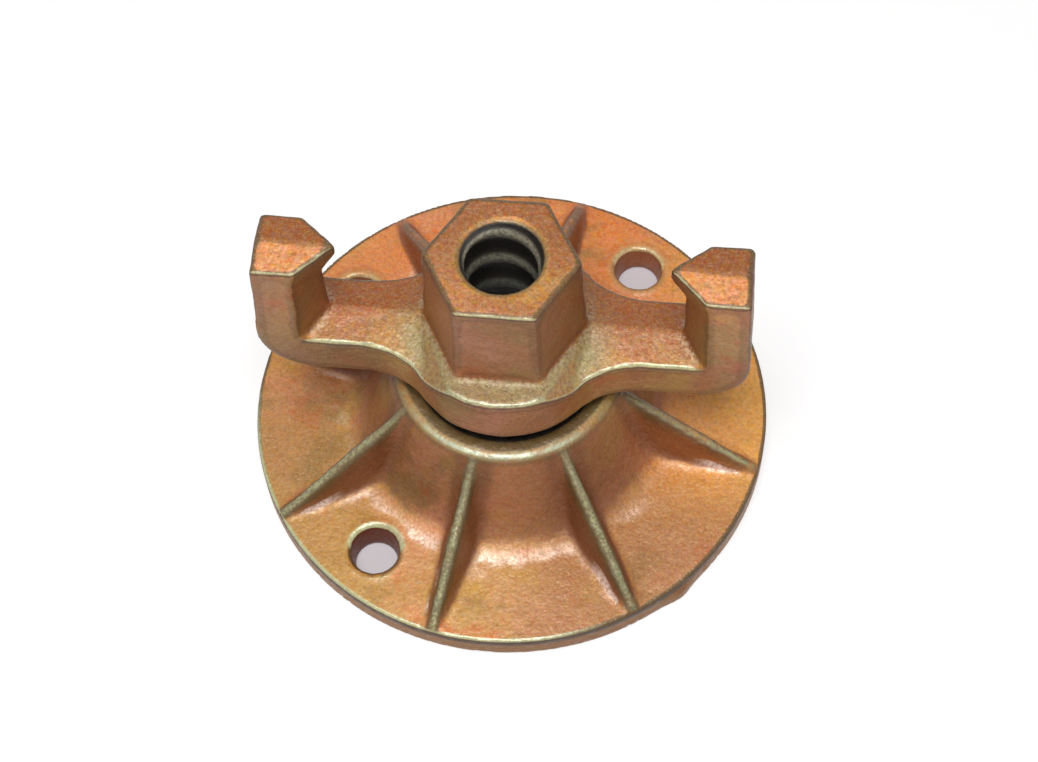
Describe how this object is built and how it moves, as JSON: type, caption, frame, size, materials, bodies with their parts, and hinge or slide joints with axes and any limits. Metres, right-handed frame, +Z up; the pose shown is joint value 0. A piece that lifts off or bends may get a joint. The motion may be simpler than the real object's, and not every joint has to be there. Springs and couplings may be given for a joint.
{
  "type": "formwork wing nut",
  "caption": "Cast wing nut with a coarse threaded bore, seated by a ball joint on a ribbed round bearing plate, for clamping formwork tie rods.",
  "frame": {"origin": "centre of the plate's flat bearing face", "axes": "+Z up along the tie rod, out of the nut's hexagon; +X along the wings at rest"},
  "size_m": [0.12, 0.12, 0.071],
  "materials": {
    "plate_casting": "sand-cast iron with yellow zinc plating",
    "nut_casting": "sand-cast iron with yellow zinc plating",
    "ring_steel": "plain spring steel, lightly oiled"
  },
  "bodies": {
    "plate": {"base_plate": "plate_casting"},
    "swivel": {"retaining_ring": "ring_steel"},
    "nut": {"wing_nut": "nut_casting"}
  },
  "joints": [
    {"name": "tilt", "type": "hinge", "parent": "plate", "child": "swivel", "pos_m": [0, 0, 0.05232], "axis": [1, 0, 0], "range_deg": [-8, 8]},
    {"name": "spin", "type": "hinge", "parent": "swivel", "child": "nut", "pos_m": [0, 0, 0.05232], "axis": [0, 0, 1], "continuous": true}
  ]
}
